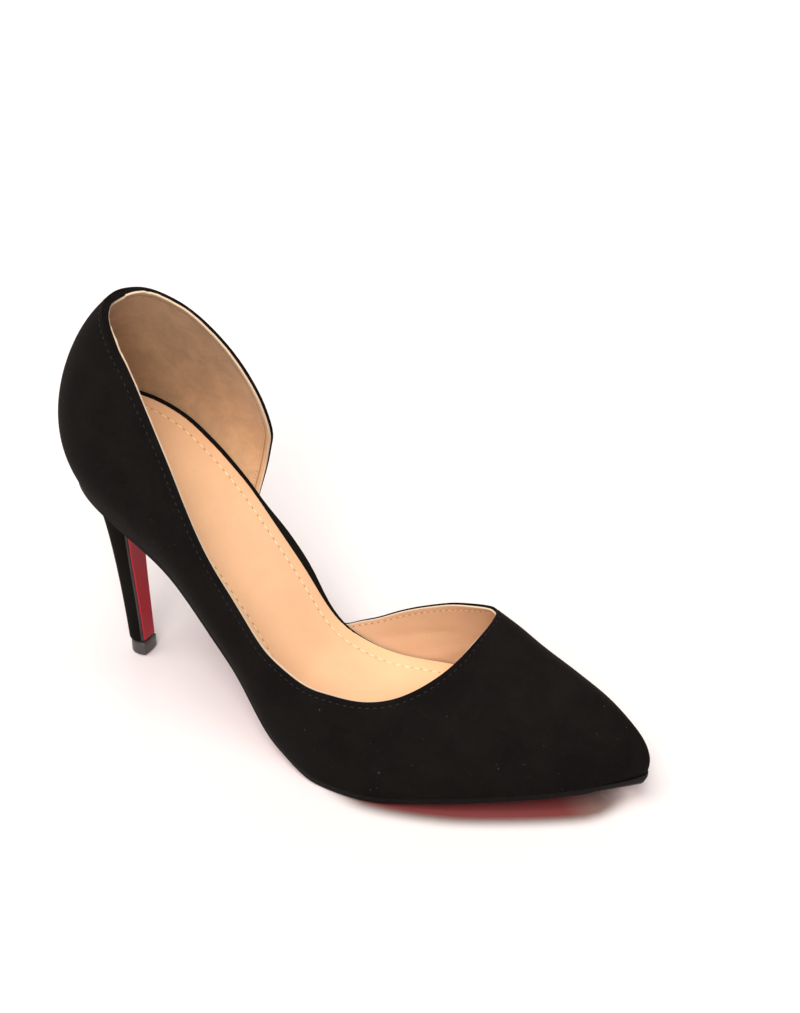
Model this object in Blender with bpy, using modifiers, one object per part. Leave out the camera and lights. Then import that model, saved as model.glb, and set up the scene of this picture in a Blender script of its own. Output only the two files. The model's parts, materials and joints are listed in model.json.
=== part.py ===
"""Asymmetric pump, right shoe: open on the inner side of the waist, pointed toe, slim heel.

Metres, +X to the toe, -Y to the outer side of the foot, +Z up, floor at Z = 0.
"""
import math

import bmesh
import bpy
import numpy as np

for item in list(bpy.data.objects):
    bpy.data.objects.remove(item, do_unlink=True)

# Driving dimensions
LENGTH = 0.222
BALL_WIDTH = 0.0734
HEEL_HEIGHT = 0.0814
INSTEP = 0.0523
TOE_SWING = 0.011

# Thicknesses
WALL = 0.0016
FIT = 0.0003
SOLE_EDGE = 0.0022
SOCK = 0.0009
COVER = 0.0007
COVER_MARGIN = 0.0009

# Insets of the layers from the outline of the upper
SOLE_INSET = 0.0004
BOARD_INSET = WALL + 0.0005
SOCK_INSET = BOARD_INSET + 0.0014
WAIST_FLARE = 0.0017
WAIST_RAMP = 0.040
SOCK_REACH = 0.0011

# Places along the foot, as shares of the length
HEEL_CENTRE = 0.126
TOE_CENTRE = 0.865
THROAT = 0.718
VAMP_FOOT_TOE = 0.800
COUNTER_FOOT = 0.256
VAMP_REAR = 0.405
SOCK_END = 0.860
BULGE_HEIGHT = 0.92 * HEEL_HEIGHT
FULLNESS = 2.05
TUCK = 0.0056
TUCK_HEIGHT = 0.066
TOE_POINT = 0.6
NOSE_FALL = 0.42
NOSE_ROUND = 3.0

# Heel tip
TIP_HEIGHT = 0.0055

# Mesh counts
ROWS = 12
SIDE_COLUMNS = 34
VAMP_COLUMNS = 7
TOE_COLUMNS = 12
COUNTER_COLUMNS = 12
REAR_COLUMNS = 20
ACROSS = 6
STATIONS = 48
END_STEPS = 5
END_RUN = 0.006
END_FLAT = 0.0002

# Outline of the upper at the sole: share of the length, shares of the ball width
OUTLINE = (
    # along, lateral, medial
    (0.036, 0.213, 0.202),
    (0.126, 0.319, 0.319),
    (0.225, 0.351, 0.343),
    (0.338, 0.381, 0.324),
    (0.441, 0.463, 0.317),
    (0.536, 0.545, 0.396),
    (0.622, 0.538, 0.462),
    (0.721, 0.440, 0.474),
    (0.811, 0.302, 0.432),
    (0.901, 0.138, 0.335),
    (0.964, -0.004, 0.222),
)

# Height of the sole line: share of the length, shares of the heel height
BOTTOM = (
    # along, rise, lift of the inner edge
    (0.000, 1.000, 0.000),
    (0.113, 0.902, 0.000),
    (0.225, 0.749, 0.060),
    (0.338, 0.418, 0.080),
    (0.441, 0.106, 0.065),
    (0.536, 0.036, 0.020),
    (0.622, 0.037, 0.000),
    (0.721, 0.065, 0.000),
    (0.865, 0.093, 0.000),
    (1.000, 0.133, 0.000),
)

# Ridge over the foot: share of the length, share of the ball width, share of the instep height
RIDGE = (
    # along, across, height over the sole line
    (0.000, 0.030, 1.721),
    (0.135, 0.037, 1.836),
    (0.270, 0.035, 2.027),
    (0.405, 0.061, 1.912),
    (0.532, 0.109, 1.549),
    (0.631, 0.162, 1.128),
    (0.712, 0.215, 0.899),
    (0.788, 0.170, 0.730),
    (0.865, 0.144, 0.595),
)

# Belly of the walls: share of the length, share of the ball width
BELLY = (
    # along, belly
    (0.000, 0.080),
    (0.135, 0.084),
    (0.315, 0.080),
    (0.405, 0.050),
    (0.470, 0.030),
    (0.586, 0.006),
    (0.676, 0.000),
)

# Thickness of the board and seat: share of the length, shares of the instep height
SEAT = (
    # along, height over the sole line, rise of the inner edge
    (0.000, 0.415, 0.000),
    (0.060, 0.395, 0.000),
    (0.126, 0.315, 0.000),
    (0.180, 0.200, 0.000),
    (0.230, 0.120, 0.000),
    (0.290, 0.095, 0.000),
    (0.400, 0.095, 0.000),
    (0.441, 0.098, 0.012),
    (0.500, 0.105, 0.030),
    (0.545, 0.108, 0.042),
    (0.612, 0.108, 0.062),
    (0.700, 0.085, 0.055),
    (0.800, 0.055, 0.020),
    (1.000, 0.038, 0.000),
)

# Outer topline from the back of the heel to the throat, height as a share of the instep height
OUTER_TOP = (
    # along, height over the sole line
    (0.000, 1.262),
    (0.045, 1.283),
    (0.096, 1.281),
    (0.136, 1.240),
    (0.162, 1.166),
    (0.187, 1.086),
    (0.213, 1.004),
    (0.245, 0.906),
    (0.272, 0.816),
    (0.311, 0.712),
    (0.351, 0.663),
    (0.423, 0.661),
    (0.502, 0.668),
    (0.549, 0.676),
    (0.587, 0.660),
    (0.622, 0.665),
    (0.654, 0.692),
    (0.680, 0.737),
    (0.702, 0.790),
    (0.716, 0.841),
    (0.719, 0.872),
)

# Rim of the inner counter from the back of the heel round to its foot
COUNTER_RIM = (
    # along, height over the sole line
    (0.000, 1.262),
    (0.049, 1.317),
    (0.081, 1.346),
    (0.136, 1.363),
    (0.175, 1.300),
    (0.213, 1.186),
    (0.255, 1.070),
    (0.272, 0.985),
    (0.281, 0.860),
    (0.284, 0.738),
    (0.274, 0.518),
    (0.265, 0.304),
    (0.258, 0.110),
    (0.256, 0.000),
)
COUNTER_CORNER = 7

# Inner topline of the vamp from its rear end to the throat
INNER_TOP = (
    # along, height over the sole line
    (0.405, 0.000),
    (0.416, 0.052),
    (0.428, 0.107),
    (0.440, 0.171),
    (0.475, 0.322),
    (0.523, 0.524),
    (0.583, 0.673),
    (0.619, 0.748),
    (0.667, 0.810),
    (0.700, 0.850),
)

# Heel block: share of its height, shares of the length, share of the ball width
HEEL = (
    # level, back, front, half width
    (0.000, 0.0694, 0.1032, 0.053),
    (0.160, 0.0644, 0.1000, 0.056),
    (0.380, 0.0559, 0.0950, 0.062),
    (0.600, 0.0449, 0.0908, 0.073),
    (0.760, 0.0350, 0.0915, 0.094),
    (0.870, 0.0262, 0.1020, 0.137),
    (0.940, 0.0162, 0.1300, 0.205),
    (1.000, 0.0090, 0.1900, 0.290),
)

# Heel tip: shares of the length, share of the ball width
TIP_BACK = 0.0734
TIP_FRONT = 0.1095
TIP_HALF = 0.060


def column(table, index, scale=1.0):
    return np.array([row[index] for row in table]) * scale


def smooth(xs, ys):
    """Monotone cubic through the points of a table."""
    step = np.diff(xs)
    slope = np.diff(ys) / step
    tangent = np.concatenate([slope[:1], np.zeros(len(xs) - 2), slope[-1:]])
    for i in range(1, len(xs) - 1):
        if slope[i - 1] * slope[i] > 0:
            a = 2 * step[i] + step[i - 1]
            b = step[i] + 2 * step[i - 1]
            tangent[i] = (a + b) / (a / slope[i - 1] + b / slope[i])

    def value(x):
        x = np.clip(x, xs[0], xs[-1])
        i = np.clip(np.searchsorted(xs, x, side="right") - 1, 0, len(xs) - 2)
        t = (x - xs[i]) / step[i]
        rise = ys[i] * (1 + 2 * t) * (1 - t) ** 2 + ys[i + 1] * t * t * (3 - 2 * t)
        return rise + step[i] * (tangent[i] * t * (1 - t) ** 2 + tangent[i + 1] * t * t * (t - 1))

    return value


def swing(x):
    return TOE_SWING * np.clip((x / LENGTH - 0.27) / 0.766, 0, 1) ** 2


def roundness(x):
    p = np.clip(x / LENGTH, 0, 1)
    return np.sqrt(p) * (1 - p) ** TOE_POINT


ALONG = column(OUTLINE, 0, LENGTH)
SIDES = {
    -1: smooth(ALONG, (-column(OUTLINE, 1, BALL_WIDTH) - swing(ALONG)) / roundness(ALONG)),
    1: smooth(ALONG, (column(OUTLINE, 2, BALL_WIDTH) - swing(ALONG)) / roundness(ALONG)),
}
RISE = smooth(column(BOTTOM, 0, LENGTH), column(BOTTOM, 1, HEEL_HEIGHT))
LIFT = smooth(column(BOTTOM, 0, LENGTH), column(BOTTOM, 2, HEEL_HEIGHT))
RIDGE_ACROSS = smooth(column(RIDGE, 0, LENGTH), column(RIDGE, 1, BALL_WIDTH))
RIDGE_HEIGHT = smooth(column(RIDGE, 0, LENGTH), column(RIDGE, 2, INSTEP))
BELLY_OUT = smooth(column(BELLY, 0, LENGTH), column(BELLY, 1, BALL_WIDTH))
SEAT_HEIGHT = smooth(column(SEAT, 0, LENGTH), column(SEAT, 1, INSTEP))
SEAT_RISE = smooth(column(SEAT, 0, LENGTH), column(SEAT, 2, INSTEP))


def edge(x, side):
    """Outline of the upper at the sole line."""
    return swing(x) + roundness(x) * SIDES[side](x)


def sole_line(x, side):
    return RISE(x) + (LIFT(x) if side > 0 else 0.0)


def wall_top(x, side):
    """Height from the sole line to the ridge over one place of the outline."""
    centre = np.clip(x, HEEL_CENTRE * LENGTH, TOE_CENTRE * LENGTH)
    return RISE(centre) + RIDGE_HEIGHT(centre) - sole_line(x, side)


def middle(x):
    """Point on the ridge that a section of the upper leans to."""
    centre_x = min(max(x, HEEL_CENTRE * LENGTH), TOE_CENTRE * LENGTH)
    return centre_x, float(RIDGE_ACROSS(centre_x))


def spread(x, height, side):
    """Reach of the wall at a height over the sole line, as a share of its reach at the sole line."""
    centre_x, centre_y = middle(x)
    share = min(max(height / float(wall_top(x, side)), 0.0), 1.0)
    lean = 1 - max(1 - share ** FULLNESS, 0.0) ** (1 / FULLNESS)
    reach = max(math.hypot(x - centre_x, float(edge(x, side)) - centre_y), 1e-6)
    low = min(max(height / BULGE_HEIGHT, 0.0), 1.0)
    belly = float(BELLY_OUT(x)) * 6.75 * low * (1 - low) ** 2
    rear = max(1 - x / (HEEL_CENTRE * LENGTH), 0.0) ** (2 if side > 0 else 1)
    belly -= TUCK * rear * min(max(height / TUCK_HEIGHT, 0.0), 1.0) ** 7
    return (reach * (1 - lean) + belly) / reach


def wall(x, height, side):
    """Point on the outside of the upper at a height over the sole line."""
    centre_x, centre_y = middle(x)
    k = spread(x, height, side)
    across = centre_y + (float(edge(x, side)) - centre_y) * k
    return (centre_x + (x - centre_x) * k, across, float(sole_line(x, side)) + height)


def girth(side):
    """Table of the outline length from the back of the heel."""
    xs = LENGTH * (1 - np.cos(np.linspace(0, math.pi, 600))) / 2
    ys = edge(xs, side)
    return xs, np.concatenate([[0.0], np.cumsum(np.hypot(np.diff(xs), np.diff(ys)))])


GIRTH = {side: girth(side) for side in (-1, 1)}


def to_girth(x, side):
    return np.interp(x, *GIRTH[side])


def from_girth(s, side):
    return np.interp(s, GIRTH[side][1], GIRTH[side][0])


def by_length(points, count):
    """Evenly spaced points along a smooth curve through the given points."""
    points = np.array(points)
    run = np.concatenate([[0.0], np.cumsum(np.hypot(*np.diff(points, axis=0).T))])
    fine = np.linspace(0, run[-1], 400)
    curve = np.stack([smooth(run, points[:, 0])(fine), smooth(run, points[:, 1])(fine)], axis=1)
    run = np.concatenate([[0.0], np.cumsum(np.hypot(*np.diff(curve, axis=0).T))])
    even = np.linspace(0, run[-1], count)
    return np.stack([np.interp(even, run, curve[:, i]) for i in (0, 1)], axis=1)


def rim(table, side):
    """Rim points as outline length and height."""
    return [(float(to_girth(row[0] * LENGTH, side)), row[1] * INSTEP) for row in table]


def rising(side, foot, top_x, top_height):
    """Column of the upper from the sole line to a rim or ridge point."""
    share = min(top_height / float(wall_top(top_x, side)), 1.0)
    angle = math.asin(share)
    points = []
    for row in range(ROWS + 1):
        v = row / ROWS
        x = foot + (top_x - foot) * v
        points.append(wall(x, float(wall_top(x, side)) * math.sin(v * angle), side))
    return points


def counter_columns():
    """Inner counter, a patch between the back of the heel, the sole line, the rim and the front edge."""
    points = rim(COUNTER_RIM, 1)
    top = by_length(points[:COUNTER_CORNER + 1], COUNTER_COLUMNS + 1)
    front = by_length(points[COUNTER_CORNER:][::-1], ROWS + 1)
    foot = front[0][0]
    back_height = points[0][1]
    columns = []
    for i in range(COUNTER_COLUMNS + 1):
        u = i / COUNTER_COLUMNS
        line = []
        for j in range(ROWS + 1):
            v = j / ROWS
            low = np.array([u * foot, 0.0])
            back = np.array([0.0, v * back_height])
            corners = (1 - u) * v * np.array([0.0, back_height]) + u * v * top[-1]
            corners = corners + u * (1 - v) * np.array([foot, 0.0])
            s, h = (1 - v) * low + v * top[i] + (1 - u) * back + u * front[j] - corners
            line.append(wall(float(from_girth(max(s, 0.0), 1)), max(h, 0.0), 1))
        columns.append(line)
    return columns[::-1]


def outer_columns():
    """Back of the heel along the outer side to the throat."""
    points = rim(OUTER_TOP, -1)
    throat_x = THROAT * LENGTH
    points.append((float(to_girth(throat_x, -1)), float(wall_top(throat_x, -1))))
    top = by_length(points, SIDE_COLUMNS + 1)
    foot_end = float(to_girth(VAMP_FOOT_TOE * LENGTH, -1))
    columns = []
    for i in range(SIDE_COLUMNS + 1):
        s, h = top[i]
        spread = (i / SIDE_COLUMNS) ** 4 * (foot_end - top[-1][0])
        foot = float(from_girth(s + spread, -1))
        columns.append(rising(-1, foot, float(from_girth(s, -1)), h))
    return columns


def vamp_columns(side):
    """Throat to the start of the toe, up to the ridge."""
    columns = []
    for i in range(VAMP_COLUMNS + 1):
        u = i / VAMP_COLUMNS
        top_x = LENGTH * (THROAT + (TOE_CENTRE - THROAT) * u)
        foot = LENGTH * (VAMP_FOOT_TOE + (TOE_CENTRE - VAMP_FOOT_TOE) * u)
        columns.append(rising(side, foot, top_x, float(wall_top(top_x, side))))
    return columns


def nose(x, y):
    """Height of the toe over the floor: arched across, falling and rounding off to the tip."""
    pole = TOE_CENTRE * LENGTH
    q = min(max((x - pole) / (LENGTH - pole), 0.0), 1.0)
    ridge = float(RIDGE_ACROSS(pole))
    ridge += (float(swing(LENGTH)) - ridge) * q
    side = -1 if y < ridge else 1
    half = max(abs(float(edge(x, side)) - ridge), 1e-7)
    share = min(abs(y - ridge) / half, 1.0)
    height = float(RIDGE_HEIGHT(pole)) * (1 - NOSE_FALL * q) * (1 - q ** NOSE_ROUND) ** (1 / NOSE_ROUND)
    return float(RISE(x)) + height * (1 - share ** FULLNESS) ** (1 / FULLNESS)


def toe_columns(side):
    """Fan round the toe, all meeting at the front end of the ridge."""
    pole_x = TOE_CENTRE * LENGTH
    pole_y = float(RIDGE_ACROSS(pole_x))
    start = float(to_girth(pole_x, side))
    end = GIRTH[side][1][-1]
    columns = []
    for i in range(TOE_COLUMNS + 1):
        foot_x = float(from_girth(start + (end - start) * math.sin(math.pi / 2 * i / TOE_COLUMNS), side))
        foot_y = float(edge(foot_x, side))
        line = []
        for row in range(ROWS + 1):
            reach = math.cos(math.pi / 2 * row / ROWS)
            x = pole_x + (foot_x - pole_x) * reach
            y = pole_y + (foot_y - pole_y) * reach
            line.append((x, y, nose(x, y) if row else float(RISE(foot_x))))
        columns.append(line)
    return columns


def rear_columns():
    """Inner side of the vamp from the throat back to its rear end."""
    points = rim(INNER_TOP, 1)
    throat_x = THROAT * LENGTH
    points.append((float(to_girth(throat_x, 1)), float(wall_top(throat_x, 1))))
    top = by_length(points, REAR_COLUMNS + 1)[::-1]
    rear = top[-1][0]
    foot_start = float(to_girth(VAMP_FOOT_TOE * LENGTH, 1))
    columns = []
    for i in range(REAR_COLUMNS + 1):
        s, h = top[i]
        share = (s - rear) / (top[0][0] - rear)
        foot = rear + (foot_start - rear) * share
        columns.append(rising(1, float(from_girth(foot, 1)), float(from_girth(s, 1)), max(h, 0.0)))
    return columns


def open_waist(x):
    """One along the open inner side of the waist, falling to nothing at the counter and at the vamp."""
    rear = (x / LENGTH - COUNTER_FOOT) / WAIST_RAMP - 0.4
    front = (VAMP_REAR - x / LENGTH) / WAIST_RAMP - 0.2
    share = np.clip(rear, 0, 1) * np.clip(front, 0, 1)
    return share * share * (3 - 2 * share)


def board_flare(x):
    return WAIST_FLARE * open_waist(x)


def sock_flare(x):
    """The sock runs closer to the inner wall once it is under the vamp."""
    return SOCK_REACH * np.clip((x / LENGTH - VAMP_REAR) / WAIST_RAMP, 0, 1)


def inset_outline(inset, flare):
    """Outline moved in by a distance, less a flare on the inner side, with its ends."""
    curves = {}
    for side in (-1, 1):
        xs = LENGTH * (1 - np.cos(np.linspace(0.002, math.pi - 0.002, 800))) / 2
        ys = edge(xs, side)
        tx, ty = np.gradient(xs), np.gradient(ys)
        run = np.hypot(tx, ty)
        depth = inset - (flare(xs) if flare and side > 0 else 0.0)
        px = xs + side * ty / run * depth
        py = ys - side * tx / run * depth
        keep = [0]
        for i in range(1, len(px)):
            if px[i] > px[keep[-1]]:
                keep.append(i)
        curves[side] = (px[keep], py[keep])
    start = max(curves[-1][0][0], curves[1][0][0]) + END_FLAT
    end = min(curves[-1][0][-1], curves[1][0][-1]) - END_FLAT

    def across(x, side):
        return float(np.interp(x, *curves[side]))

    return across, start, end


def places(start, end, blunt):
    """Section places along a layer, shared by all layers and closer together at the round ends."""
    runs = [END_RUN * (i / END_STEPS) ** 2 for i in range(END_STEPS + 1)]
    first = [start + run for run in runs]
    last = [end - run for run in runs[::-1]] if blunt else [end]
    even = [x for x in np.linspace(0, LENGTH, STATIONS + 1) if first[-1] + 0.001 < x < last[0] - 0.001]
    return first + even + last


def laid(x, y, share, height, level):
    """Point of a layer at a height over the sole line, spread as the walls are at a level."""
    centre_x, centre_y = middle(x)
    k = (1 - share) * spread(x, level, -1) + share * spread(x, level, 1)
    return (centre_x + (x - centre_x) * k, centre_y + (y - centre_y) * k, foot_height(x, share) + height)


def layer(name, inset, lower, upper, flare=None, end_share=None):
    """Layer of the bottom between two heights, following an inset outline."""
    across, start, end = inset_outline(inset, flare)
    if end_share is not None:
        end = end_share * LENGTH
    mesh = bmesh.new()
    rings = []
    for x in places(start, end, end_share is None):
        low_y, high_y = across(x, -1), across(x, 1)
        full_low, full_high = float(edge(x, -1)), float(edge(x, 1))
        top, bottom = [], []
        for j in range(ACROSS + 1):
            y = low_y + (high_y - low_y) * j / ACROSS
            share = min(max((y - full_low) / max(full_high - full_low, 1e-6), 0.0), 1.0)
            top.append(mesh.verts.new(laid(x, y, share, *upper(x, share))))
            bottom.append(mesh.verts.new(laid(x, y, share, *lower(x, share))))
        rings.append(top + bottom[::-1])
    return close_rings(name, mesh, rings)


def close_rings(name, mesh, rings):
    count = len(rings[0])
    for a, b in zip(rings, rings[1:]):
        for j in range(count):
            k = (j + 1) % count
            mesh.faces.new((a[j], a[k], b[k], b[j]))
    half = count // 2
    for ring, flip in ((rings[0], False), (rings[-1], True)):
        for j in range(half - 1):
            quad = [ring[j], ring[count - 1 - j], ring[count - 2 - j], ring[j + 1]]
            mesh.faces.new(quad[::-1] if flip else quad)
    return finish(name, mesh)


def finish(name, mesh):
    bmesh.ops.remove_doubles(mesh, verts=mesh.verts, dist=0.00002)
    bmesh.ops.dissolve_degenerate(mesh, edges=mesh.edges, dist=0.00001)
    bmesh.ops.recalc_face_normals(mesh, faces=mesh.faces)
    if mesh.calc_volume(signed=True) < 0:
        bmesh.ops.reverse_faces(mesh, faces=mesh.faces)
    data = bpy.data.meshes.new(name)
    mesh.to_mesh(data)
    mesh.free()
    return bpy.data.objects.new(name, data)


def foot_height(x, share):
    return float(RISE(x)) + float(LIFT(x)) * share


def sole_under(x, share):
    """Height of the underside, flat across at the waist and crowned to the floor under the ball."""
    crown = 0.0012 + 0.0014 * min(max((x / LENGTH - 0.42) / 0.12, 0.0), 1.0)
    fall = 1 - (2 * share - 1) ** 2
    return max(foot_height(x, share) - FIT - SOLE_EDGE - crown * fall, 0.0)


def sole_top_face(x, share):
    return -FIT, 0.0


def sole_under_face(x, share):
    return sole_under(x, share) - foot_height(x, share), 0.0


def board_under_face(x, share):
    return 0.0, 0.0


def seat_over(x, share):
    """Height of the board over the sole line, cupped up to the inner wall under the forefoot."""
    return float(SEAT_HEIGHT(x)) + float(SEAT_RISE(x)) * share * share


def board_top_face(x, share):
    return seat_over(x, share), seat_over(x, share)


def sock_under_face(x, share):
    return seat_over(x, share) + FIT, seat_over(x, share)


def sock_top_face(x, share):
    return seat_over(x, share) + FIT + SOCK, seat_over(x, share)


def heel_ring(level):
    """Section of the heel block at a share of its height."""
    levels = column(HEEL, 0)
    back = float(smooth(levels, column(HEEL, 1, LENGTH))(level))
    front = float(smooth(levels, column(HEEL, 2, LENGTH))(level))
    return heel_section(back, front, float(smooth(levels, column(HEEL, 3, BALL_WIDTH))(level)))


def heel_section(back, front, half):
    """Outline round at the back and flat at the breast."""
    waist = back + min(1.15 * half, 0.62 * (front - back))
    corner = min(0.0012, 0.3 * half)
    points = []
    for i in range(13):
        turn = math.pi * i / 12
        points.append((waist - (waist - back) * math.sin(turn), -half * math.cos(turn)))
    points.append((front - 2 * corner, half))
    points.append((front - 0.4 * corner, half - 0.4 * corner))
    for i in range(5):
        points.append((front, (half - 1.6 * corner) * (1 - i / 2)))
    points.append((front - 0.4 * corner, -half + 0.4 * corner))
    points.append((front - 2 * corner, -half))
    return points


def seat_height(x, y):
    low, high = float(edge(x, -1)), float(edge(x, 1))
    return sole_under(x, min(max((y - low) / (high - low), 0.0), 1.0)) - FIT


def heel_height(x, y, level):
    base = TIP_HEIGHT + FIT
    return base + level * (seat_height(x, y) - base)


def capped(mesh, ring, flip):
    centre = mesh.verts.new(tuple(np.mean([v.co for v in ring], axis=0)))
    for a, b in zip(ring, ring[1:] + ring[:1]):
        mesh.faces.new((centre, b, a) if flip else (centre, a, b))
    return centre


def heel_block():
    mesh = bmesh.new()
    rings = []
    for level in np.concatenate([np.linspace(0, 0.72, 9), np.linspace(0.78, 1.0, 10)]):
        rings.append([mesh.verts.new((x, y, heel_height(x, y, level))) for x, y in heel_ring(level)])
    for a, b in zip(rings, rings[1:]):
        for j in range(len(a)):
            k = (j + 1) % len(a)
            mesh.faces.new((a[j], a[k], b[k], b[j]))
    capped(mesh, rings[0], True)
    inner = rings[-1]
    seat = [v.co.copy() for v in inner]
    centre = np.mean([tuple(p) for p in seat], axis=0)
    for share in (0.66, 0.33):
        ring = []
        for p in seat:
            x = centre[0] + (p.x - centre[0]) * share
            y = centre[1] + (p.y - centre[1]) * share
            ring.append(mesh.verts.new((x, y, seat_height(x, y))))
        for j in range(len(ring)):
            k = (j + 1) % len(ring)
            mesh.faces.new((inner[j], inner[k], ring[k], ring[j]))
        inner = ring
    crest = capped(mesh, inner, False)
    crest.co.z = seat_height(crest.co.x, crest.co.y)
    return finish("heel", mesh)


def top_piece():
    """Heel tip with a flat tread."""
    mesh = bmesh.new()
    rings = []
    for z, shrink in ((0.0, 0.0005), (0.0005, 0.0), (TIP_HEIGHT - 0.0004, 0.0), (TIP_HEIGHT, 0.0002)):
        back, front = TIP_BACK * LENGTH + shrink, TIP_FRONT * LENGTH - shrink
        section = heel_section(back, front, TIP_HALF * BALL_WIDTH - shrink)
        rings.append([mesh.verts.new((x, y, z)) for x, y in section])
    for a, b in zip(rings, rings[1:]):
        for j in range(len(a)):
            k = (j + 1) % len(a)
            mesh.faces.new((a[j], a[k], b[k], b[j]))
    capped(mesh, rings[0], True)
    capped(mesh, rings[-1], False)
    return finish("top_piece", mesh)


def breast_cover():
    """Thin cover on the flat front of the heel."""
    mesh = bmesh.new()
    rings = []
    for level in np.concatenate([np.linspace(0.012, 0.72, 10), np.linspace(0.78, 0.985, 10)]):
        section = heel_ring(level)
        front = max(p[0] for p in section)
        half = max(p[1] for p in section) - COVER_MARGIN
        slope = max(p[0] for p in heel_ring(min(level + 0.01, 1.0))) - front
        tilt = math.atan2(slope, 0.01 * HEEL_HEIGHT * 0.85)
        ring = []
        for depth, ways in ((FIT, (-1, -0.5, 0, 0.5, 1)), (FIT + COVER, (1, 0.5, 0, -0.5, -1))):
            for way in ways:
                x = front + depth * math.cos(tilt)
                z = heel_height(front, way * half, level) - depth * math.sin(tilt)
                ring.append(mesh.verts.new((x, way * half, z)))
        rings.append(ring)
    return close_rings("heel_breast_cover", mesh, rings)


def upper():
    """Hollow shell: the outside as one sheet, then its thickness inward."""
    mesh = bmesh.new()
    runs = (
        counter_columns() + outer_columns()[1:] + vamp_columns(-1)[1:] + toe_columns(-1)[1:],
        toe_columns(1)[::-1] + vamp_columns(1)[::-1][1:] + rear_columns()[1:],
    )
    for columns in runs:
        lines = [[mesh.verts.new(point) for point in line] for line in columns]
        for a, b in zip(lines, lines[1:]):
            for j in range(ROWS):
                mesh.faces.new((a[j], b[j], b[j + 1], a[j + 1]))
    bmesh.ops.remove_doubles(mesh, verts=mesh.verts, dist=0.00003)
    bmesh.ops.dissolve_degenerate(mesh, edges=mesh.edges, dist=0.00002)
    bmesh.ops.recalc_face_normals(mesh, faces=mesh.faces)
    mesh.faces.ensure_lookup_table()
    front = max(mesh.faces, key=lambda f: f.calc_center_median().x)
    if front.normal.x < 0:
        bmesh.ops.reverse_faces(mesh, faces=mesh.faces)
    data = bpy.data.meshes.new("upper")
    mesh.to_mesh(data)
    mesh.free()
    shell = bpy.data.objects.new("upper", data)
    thick = shell.modifiers.new("wall", "SOLIDIFY")
    thick.thickness = WALL
    thick.offset = -1.0
    thick.use_even_offset = True
    thick.use_rim = True
    return shell


MATERIALS = {
    # node: colour, roughness
    "upper": ((0.011, 0.009, 0.009), 0.95),
    "insole_board": ((0.011, 0.009, 0.009), 0.95),
    "insole": ((0.80, 0.50, 0.30), 0.55),
    "outsole": ((0.25, 0.03, 0.035), 0.30),
    "heel": ((0.011, 0.009, 0.009), 0.95),
    "heel_breast_cover": ((0.25, 0.03, 0.035), 0.25),
    "top_piece": ((0.012, 0.012, 0.012), 0.35),
}


def dress(item):
    colour, roughness = MATERIALS[item.name]
    material = bpy.data.materials.new(item.name)
    material.use_nodes = True
    shader = material.node_tree.nodes["Principled BSDF"]
    shader.inputs["Base Color"].default_value = (*colour, 1.0)
    shader.inputs["Roughness"].default_value = roughness
    item.data.materials.append(material)
    material.diffuse_color = (*colour, 1.0)


pieces = [
    upper(),
    layer("outsole", SOLE_INSET, sole_under_face, sole_top_face),
    layer("insole_board", BOARD_INSET, board_under_face, board_top_face, flare=board_flare),
    layer("insole", SOCK_INSET, sock_under_face, sock_top_face, flare=sock_flare, end_share=SOCK_END),
    heel_block(),
    breast_cover(),
    top_piece(),
]

group = bpy.data.collections.new("asymmetric_pump")
bpy.context.scene.collection.children.link(group)
for piece in pieces:
    dress(piece)
    group.objects.link(piece)

# Origin under the middle of the whole shoe
bpy.context.view_layer.update()
corners = [v.co for piece in pieces for v in piece.data.vertices]
shift_x = -(min(c.x for c in corners) + max(c.x for c in corners)) / 2
shift_y = -(min(c.y for c in corners) + max(c.y for c in corners)) / 2
for piece in pieces:
    for vertex in piece.data.vertices:
        vertex.co.x += shift_x
        vertex.co.y += shift_y
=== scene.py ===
"""Dresses the asymmetric pump: suede, linings, sock, stitching, sole, heel and a plain studio."""

import json
import math

import bmesh
import bpy
from bpy.props import FloatProperty, FloatVectorProperty, PointerProperty
from mathutils import Matrix, Vector
from mathutils.bvhtree import BVHTree
from mathutils.kdtree import KDTree

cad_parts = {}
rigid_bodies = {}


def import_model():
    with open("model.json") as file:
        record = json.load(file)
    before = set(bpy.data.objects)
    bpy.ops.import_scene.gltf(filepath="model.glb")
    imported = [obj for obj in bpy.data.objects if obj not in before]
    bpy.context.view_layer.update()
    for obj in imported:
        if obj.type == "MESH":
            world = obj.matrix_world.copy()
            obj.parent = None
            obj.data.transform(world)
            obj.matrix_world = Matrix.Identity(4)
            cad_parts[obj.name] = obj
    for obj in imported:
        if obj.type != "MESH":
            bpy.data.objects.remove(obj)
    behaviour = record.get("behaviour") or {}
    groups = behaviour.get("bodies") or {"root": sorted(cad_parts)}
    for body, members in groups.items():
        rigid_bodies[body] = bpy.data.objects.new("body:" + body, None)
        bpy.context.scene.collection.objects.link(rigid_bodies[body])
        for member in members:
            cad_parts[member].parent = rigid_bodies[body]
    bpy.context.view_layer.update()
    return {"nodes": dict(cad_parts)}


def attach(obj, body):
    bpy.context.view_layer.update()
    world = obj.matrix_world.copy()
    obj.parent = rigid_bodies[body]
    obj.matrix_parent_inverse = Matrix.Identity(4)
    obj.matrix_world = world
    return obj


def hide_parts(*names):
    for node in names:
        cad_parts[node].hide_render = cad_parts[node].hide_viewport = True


bl_info = {
    "name": "Asymmetric pump",
    "version": (1, 0, 0),
    "blender": (4, 5, 0),
    "location": "View3D > Sidebar > Pump",
    "description": "Dresses an asymmetric suede pump on its solids",
    "category": "Object",
}

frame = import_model()


def length(name, description, default):
    return FloatProperty(name=name, description=description, default=default, unit="LENGTH", precision=5)


def colour(name, description, default):
    return FloatVectorProperty(
        name=name, description=description, default=default, subtype="COLOR", size=3, min=0.0, max=1.0
    )


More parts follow.
